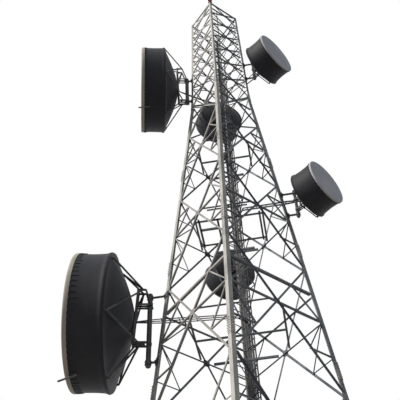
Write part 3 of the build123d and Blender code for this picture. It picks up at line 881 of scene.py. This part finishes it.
# %% Ropes, hooks and rim clips
ROPE_REACH = {"left_lower": 0.20, "left_upper": 0.09}
SMALL_REACH = 0.07
for dish in dishes:
    ropes, clips = Piece("lacing_" + dish.name), Piece("rim_clips_" + dish.name)
    count, hem, deep = dish.ropes, dish.hem, dish.scallop
    reach = ROPE_REACH.get(dish.name, SMALL_REACH)
    for k in range(count):
        turn = 360 * k / count
        uneven = 1 + 0.45 * noise.noise(Vector((k * 0.73, dish.z, 0.0)))
        far = dish.front - hem - reach * uneven
        share = (far - dish.rim) / (dish.front - dish.rim)
        path = [dish.at(dish.front - 0.97 * hem, dish.over(0.97 * hem, 0.014), turn)]
        path.append(dish.at(dish.front - hem - deep, dish.over(hem + deep), turn))
        path.append(dish.at(far, dish.wall(share) + 0.010, turn))
        ropes.tube(path, 0.009 if dish.large else 0.006, 5)
        clips.bolt(dish.at(far, dish.wall(share) - 0.002, turn), dish.away(turn), 0.011)
    for k in range(count // 2):
        turn = 720 * (k + 0.5) / count
        at = dish.at(dish.rim - 0.006, dish.radius - 0.004, turn)
        clips.bolt(at, dish.away(turn), 0.014)
    ropes.done(ROPE, "shroud")
    clips.done(SHROUD, "shroud")

# %% [markdown]
# ## Dish mounts
# A mount is a small frame of round tube. Two uprights behind the bowl are clamped to a vertical
# pipe, slanting tubes run from them to lugs on the bowl's rim, and two level arms carry the pipe
# from the tower's leg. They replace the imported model's square bars on nearly the same lines. The
# fittings come first, each as a helper that adds to the mount's one mesh.

# %% Leg covers and U-bolts
COVER_T, COVER_H = 0.015, 0.300


def leg_cover(piece, sx, sy, z, wide):
    """An angle plate wrapped round a leg from outside, with its bolts."""
    h, half = half_width(z), COVER_H / 2
    outline = [(-COVER_T, -COVER_T), (wide, -COVER_T), (wide, 0)]
    outline += [(0, 0), (0, wide), (-COVER_T, wide)]
    rings = []
    for height in (z - half, z + half):
        hw = half_width(height)
        rings.append([Vector((sx * (hw - a), sy * (hw - b), height)) for a, b in outline])
    piece.rings(rings)
    for up in (-0.10, 0.0, 0.10):
        for across in (0.035, wide - 0.03):
            at = (sx * (h - across), sy * (h + COVER_T), z + up)
            piece.bolt(at, (0, sy, 0), 0.013, 0.02)
            at = (sx * (h + COVER_T), sy * (h - across), z + up)
            piece.bolt(at, (sx, 0, 0), 0.013, 0.02)


def u_bolt(piece, dish, z, radius):
    """A threaded U round the pipe, with its ends through the saddle plate."""
    arc = [pi / 2 + pi * k / 8 for k in range(9)]
    reach = radius + 0.010
    path = [Vector((0.10, reach, z))]
    path += [Vector((reach * cos(t), reach * sin(t), z)) for t in arc]
    path.append(Vector((0.10, -reach, z)))
    piece.tube([dish.stand @ p for p in path], 0.009, 6)


print("fittings: leg cover and U-bolt")

# %% [markdown]
# ## Level arms
# An arm is a stub of pipe between the leg and the mount's pipe. It ends in a plate on the leg
# cover and in a collar round the pipe, and two bolts close the collar.

# %% The level arm
def level_arm(piece, dish, z, pipe_r):
    """A round arm from leg to pipe, with its collar, end plate and leg cover."""
    sx, sy = dish.corner
    leg_cover(piece, sx, sy, z, leg_size(z))
    heel = half_width(z) + 0.008
    start = Vector((dish.pipe.x, dish.pipe.y, z))
    end = Vector((sx * heel, sy * heel, z))
    along = (end - start).normalized()
    piece.tube([start, end], 0.040, 12)
    piece.tube([end - along * 0.03, end], 0.075, 12)
    collar = [start + UPWARD * v for v in (-0.075, 0.075)]
    piece.tube(collar, pipe_r + 0.022, 16)
    for up in (-0.05, 0.05):
        piece.bolt(start - along * (pipe_r + 0.02) + UPWARD * up, -along, 0.014, 0.02)


print("fittings: level arm")

# %% [markdown]
# ## Frames and struts
# The frame is drawn in the dish's own space, where forward is along its axis, and its place then
# turns every point. Small dishes are held at two points of the rim. Large ones have an outrigger
# behind the frame and ten struts, because the wind on a drum this size would bend its rim.

# %% Build the mounts
HEAD_SHARE, LUG_SHARE = 0.4, 0.95
LARGE_MOUNT, SMALL_MOUNT = (0.080, 0.084, 0.150), (0.060, 0.057, 0.060)


def saddle(piece, dish, y, z, pipe_r, chord):
    """A tapered plate that carries the frame on the pipe."""
    start, half = -0.9 * pipe_r, 0.006
    outline = ((start, -0.045), (chord, -0.035), (chord, 0.035), (start, 0.045))
    side = [dish.place @ Vector((x, y - half, z + up)) for x, up in outline]
    shift = dish.place.to_3x3() @ Vector((0, 2 * half, 0))
    piece.rings([side, [p + shift for p in side]])


def mount(dish):
    """One whole mount: pipe, frame, saddles, U-bolts, struts and arms."""
    piece = Piece("mount_" + dish.name)
    top, bottom, w = dish.frame
    size, pipe_r, lug = LARGE_MOUNT if dish.large else SMALL_MOUNT
    low, high = min(dish.arms) - COVER_H / 2, max(dish.arms) + COVER_H / 2
    ends = (bottom + size / 2, top - size / 2)
    grips = (max(ends[0], low + size), min(top / 2, high - size))
    chord, head = dish.hub - size / 2, HEAD_SHARE * dish.hub

    def tube(p, q, radius):
        piece.tube([dish.place @ Vector(p), dish.place @ Vector(q)], radius, 12)

    pipe = [dish.stand @ Vector((0, 0, z)) for z in (low, low + 0.004, high - 0.004, high)]
    piece.tube(pipe, [pipe_r - 0.004, pipe_r, pipe_r, pipe_r - 0.004], 24)
    for y in (-w, w):
        tube((chord, y, bottom), (chord, y, top), size / 2)
    for z in ends + grips:
        tube((chord, -w, z), (chord, w, z), 0.4 * size)
    for z in grips:
        for y in (-1.35 * pipe_r, 1.35 * pipe_r):
            saddle(piece, dish, y, z, pipe_r, chord)
        tube((pipe_r, 0, z), (chord, 0, z), 0.45 * size)
        for up in (-0.035, 0.035):
            u_bolt(piece, dish, z + up, pipe_r)
    lugs = [(240, -w, ends[0]), (300, w, ends[0])]
    if dish.large:
        for y in (-w, w):
            tube((head, y, ends[1]), (chord, y, ends[1]), size / 2)
            tube((head, y, ends[1]), (0, y, grips[1]), 0.4 * size)
            tube((0, y, ends[0]), (chord, y, ends[0]), size / 2)
        lugs = [(30, w, ends[1]), (90, w, ends[1]), (90, -w, ends[1]), (150, -w, ends[1])]
        lugs += [(210, -w, ends[1]), (210, -w, ends[0]), (270, -w, ends[0]), (270, w, ends[0])]
        lugs += [(330, w, ends[0]), (330, w, ends[1])]
    upper, lower = dish.name == "left_upper", dish.name == "left_lower"
    rim_x, r = dish.back(LUG_SHARE), LUG_SHARE * dish.radius
    x = rim_x - (0.04 if upper else 0.10)
    for turn, y, z in lugs:
        end = (x, r * cos(radians(turn)), r * sin(radians(turn)))
        start = head if upper and z > 0 else chord - 0.18 * dish.large
        tube((start, y, z), end, (0.42 if lower else 0.33) * size)
        tube(end, (rim_x + 0.02, end[1], end[2]), 0.5 * size)
        seat = dish.place @ Vector((x + 0.5 * lug, end[1], end[2]))
        piece.bolt(seat, dish.away(turn + 90), 0.5 * size)
    for height in dish.arms:
        level_arm(piece, dish, dish.z + height, pipe_r)
    # painted shade: the mount gets the darkest zinc
    finished = piece.done(PAINTED_SHADE_MOUNT_STEEL, "leg_zinc", smooth=40)
    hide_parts("dish_" + dish.name + "_mount")


for dish in dishes:
    mount(dish)

# %% [markdown]
# ## Jumpers
# From the cable ladder a few feeders branch off to every dish. They run in parallel through the
# lattice to the back of the bowl, held together by small spacers, and end in a gland. They are too
# stiff to hang in loops, so each is a line from the ladder to the hub with a shallow sag.

# %% Run the jumpers to the dishes
SPANS = 13
GLAND = ((-0.10, 0.0), (-0.10, 0.05), (-0.03, 0.06), (-0.02, 0.14), (0.01, 0.15), (0.01, 0.0))


def jumpers(dish, across, low, count, radius, sag, spread=0.075):
    """Parallel cables from the ladder at height low to the back of the bowl."""
    piece = Piece("jumpers_" + dish.name)
    hub = dish.place @ Vector((dish.hub - 0.02, 0, 0))
    start = rack_point(low, across, 0.10)
    along = (hub - start).normalized()
    side = along.cross(UPWARD).normalized()
    rise = side.cross(along)
    paths = []
    for k in range(count):
        shift = (k - (count - 1) / 2) * spread
        path = [start + UPWARD * (-0.9 - 0.05 * k) + Vector((0.04, 0.03 * k, 0))]
        path.append(start + UPWARD * (-0.28 - 0.03 * k) + Vector((0.03, 0.03 * k, 0)))
        for i in range(1, SPANS):
            share = i / SPANS
            drop = sag * (1 - (2 * share - 1) ** 2)
            close = 1 if share < 0.8 else (1 - share) / 0.2 * 0.8 + 0.2
            path.append(start.lerp(hub, share) + rise * shift * close - UPWARD * drop)
        path.append(hub + rise * shift * 0.2)
        piece.tube(path, radius, 8)
        paths.append(path)
    for i in range(3, 12, 2) if count > 1 else ():
        piece.tube([paths[0][i] - rise * 0.03, paths[-1][i] + rise * 0.03], 0.016, 6)
    piece.lathe(dish.place, [(dish.hub + x, r) for x, r in GLAND], 24)
    piece.done(JACKET, "feeder", smooth=40)


BY_NAME = {dish.name: dish for dish in dishes}
jumpers(BY_NAME["left_lower"], -0.10, 18.9, 3, 0.020, 0.02, 0.085)
jumpers(BY_NAME["left_upper"], 0.05, 31.0, 2, 0.020, 0.10, 0.07)
jumpers(BY_NAME["right_lower"], -0.26, 23.9, 2, 0.032, 0.0, 0.11)
jumpers(BY_NAME["right_upper"], -0.18, 31.4, 1, 0.018, 0.12)
jumpers(BY_NAME["rear_lower"], 0.24, 21.9, 1, 0.018, 0.10)
jumpers(BY_NAME["rear_upper"], 0.16, 31.2, 1, 0.018, 0.12)

# %% [markdown]
# ## Rods
# Each large drum carries a short rod that stands out past its front edge, bolted near its foot and
# its middle. It is one straight tube, placed by turn and distance in the dish's own space.

# %% Rods on the large drums
RODS = (  # dish, turn, ahead of the front, off the drum, radius
    ("left_upper", 281, 0.14, 0.13, 0.030),
    ("left_lower", 277, 0.18, 0.26, 0.034),
)
for name, turn, ahead, lift, radius in RODS:
    dish = BY_NAME[name]
    piece = Piece("rod_" + name)
    start = dish.at(dish.front - 0.36, dish.radius - 0.02, turn)
    end = dish.at(dish.front + ahead, dish.radius + lift, turn)
    piece.tube([start, end], radius, 8)
    for share in (0.08, 0.42):
        at = start.lerp(end, share) - dish.away(turn) * 0.05
        piece.bolt(at, dish.away(turn), 0.034, 0.02)
    piece.done(LADDER_ZINC, "leg_zinc")

# %% [markdown]
# ## The stay
# The stay runs from the leg, below the mount, to the back of the rim. Its ends are pressed thinner
# than its middle so that a bolt can go through them, and one tube with four radii shows that.

# %% The stay of the upper right dish
STAY_FOOT, STAY_TURN, STAY_THIN, STAY_R = 0.95, 258, 0.015, 0.026
dish = BY_NAME["right_upper"]
piece = Piece("stay_right_upper")
z = dish.z - STAY_FOOT
h = half_width(z)
foot = Vector((dish.corner[0] * (h - 0.03), dish.corner[1] * (h + 0.02), z))
tip = dish.at(dish.back(LUG_SHARE) - 0.02, 0.93 * dish.radius, STAY_TURN)
path = [foot, foot.lerp(tip, 0.04), foot.lerp(tip, 0.96), tip]
piece.tube(path, [STAY_THIN, STAY_R, STAY_R, STAY_THIN], 10)
piece.bolt(foot, (0, dish.corner[1], 0), 0.022, 0.03)
# painted shade: the stay gets the darkest zinc
piece.done(PAINTED_SHADE_MOUNT_STEEL, "leg_zinc", smooth=40)

# %% [markdown]
# ## Bolts
# A tower is bolted, not welded, so that it can be carried up in pieces. Splice plates hold two
# columns of bolts on each flange of a leg, and every joint of the bracing has its own few. Copies
# of one bolt object would be lighter to store, but hundreds of objects are hard to handle, so the
# heads are laid in loops and gathered face by face.

# %% Bolts of the splices, joints and crossings
SPLICES = [share * WAIST for share in (0.27, 0.492, 0.664, 0.835)]
PLATE_FACE = -0.012
for side, turn in SIDES.items():
    piece = Piece("bolts_" + side)
    face = outward(turn)
    for z in SPLICES:
        for k in range(6):
            height = z + (k - 2.5) * 0.10
            for s in (-1, 1):
                for step in (0.040, 0.110):
                    at = on_face(turn, s * (half_width(height) - step), height, PLATE_FACE)
                    piece.bolt(at, face, 0.015, 0.035)
    for z0, z1 in panels:
        e0, e1, zc = foot_edge(z0), edge(z1), crossing(z0, z1)
        low = z0 < WAIST
        size = 0.013 if low else 0.010
        piece.bolt(on_face(turn, 0, zc), face, size)
        for s in (-1, 1):
            for u0, u1 in ((e0, -e1), (-e0, e1)):
                if s * u0 > 0:
                    near, far = on_face(turn, u0, z0), on_face(turn, u1, z1)
                else:
                    near, far = on_face(turn, u1, z1), on_face(turn, u0, z0)
                along = (far - near).normalized()
                for step in (0.13, 0.19) if low else (0.085,):
                    piece.bolt(near + along * step, face, size)
            for up in (-0.05, 0.05):
                at = on_face(turn, s * (half_width(z1) - 0.5 * leg_size(z1)), z1 + up - 0.06, 0.0)
                piece.bolt(at, face, size)
                at = on_face(turn, s * (half_width(zc) - 0.5 * leg_size(zc)), zc + up, 0.0)
                piece.bolt(at, face, size)
    for k in range(6):
        z = WAIST + (k - 2.5) * 0.085
        for s in (-1, 1):
            at = on_face(turn, s * (half_width(z) - 0.045), z, PLATE_FACE)
            piece.bolt(at, face, 0.013, 0.03)
    piece.done(LEG_ZINC, "leg_zinc")

# %% [markdown]
# ## Anchors
# Each foot stands on four anchor bolts, cast into its foundation. Here they go through the holes
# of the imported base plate, with a nut and the end of the thread above it.

# %% Anchor bolts and nuts of the feet
PLATE_TOP, HOLE_OFF = 0.040, 0.235
piece = Piece("anchor_bolts")
for sx in (-1, 1):
    for sy in (-1, 1):
        for dx in (-HOLE_OFF, HOLE_OFF):
            for dy in (-HOLE_OFF, HOLE_OFF):
                at = Vector((sx * FOOT + dx, sy * FOOT + dy, PLATE_TOP))
                piece.bolt(at, (0, 0, 1), 0.034, 0.055)
                piece.tube([at - UPWARD * 0.039, at], 0.018, 12)
piece.done(LEG_ZINC, "leg_zinc")

# %% [markdown]
# ## Warning light
# Glass lenses for tower lights are moulded in rings, which bend the lamp's rays level. A lathe
# profile with small steps gives those rings on a dome.

# %% Turn the ringed lens
h = half_width(TOP) - 0.04
beacon = Matrix.Translation((-h, -h, TOP)) @ Matrix.Rotation(-pi / 2, 4, "Y")
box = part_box("beacon_lens")
base, tip = box[0].z - TOP, box[1].z - TOP
wide = (box[1].x - box[0].x) / 2
profile = [(base, 0.0), (base, wide)]
STEPS, RINGED, NARROWING = 7, 0.74, 0.22
for k in range(STEPS):
    x0 = base + (tip - base) * RINGED * k / STEPS
    x1 = base + (tip - base) * RINGED * (k + 0.8) / STEPS
    size = wide * (1 - NARROWING * (k / STEPS) ** 2)
    profile += [(x0 + 0.002, size), (x1, size * 0.97), (x1 + 0.002, size * 0.90)]
profile += [(base + (tip - base) * 0.80, 0.66 * wide), (base + (tip - base) * 0.92, 0.45 * wide)]
profile += [(tip - 0.004, 0.20 * wide), (tip, 0.0)]
piece = Piece("ringed_lens")
piece.lathe(beacon, profile, 48)
lens = piece.done(RED, "red_lens", smooth=30)
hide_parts("beacon_lens")
print("lens", round(base, 3), "to", round(tip, 3), "m over the tower's top")

# %% [markdown]
# ## The imported nodes
# Legs, bracing, ladders and plates keep their imported shapes and only change their finish. The
# left face, which the lamp lights, gets paler copies of the zinc as painted light. As painted shade,
# the legs on the right get a darker copy and the cable ladder gets the darkest zinc. Every other
# node gets the darker, bluish bracing zinc, partly weathered and partly painted shade. A node's
# name says what it is, which is enough to choose by.

# %% Dress the imported nodes
def finish_for(node):
    # painted shade: the legs on the right get a darker copy of the leg zinc
    if node.startswith("leg_") and "_right_" in node:
        return PAINTED_SHADE_LEGS_ZINC
    if node.startswith("leg_") or node == "base_plates":
        return LEG_ZINC
    # painted light: paler copies of the bracing zinc for the lit left face
    if node == "bracing_left_top":
        return PAINTED_LIGHT_UPPER_ZINC
    if node.startswith("bracing_left"):
        return PAINTED_LIGHT_ZINC
    # painted shade: the cable ladder gets the darkest zinc
    if node == "cable_ladder":
        return PAINTED_SHADE_MOUNT_STEEL
    if node.endswith("ladder"):
        return LADDER_ZINC
    if node.endswith("_reflector"):
        return SHROUD
    if node.endswith("_radome"):
        return RADOME
    if node == "feeder_lines":
        return JACKET
    if node.startswith("beacon"):
        return RED_PAINT
    # darker, bluish bracing zinc: partly weathered, partly painted shade
    return PAINTED_SHADE_WEATHERED_ZINC


for name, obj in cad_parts.items():
    obj.data.materials.clear()
    obj.data.materials.append(finish_for(name))
print("dressed", len(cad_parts), "packed nodes")
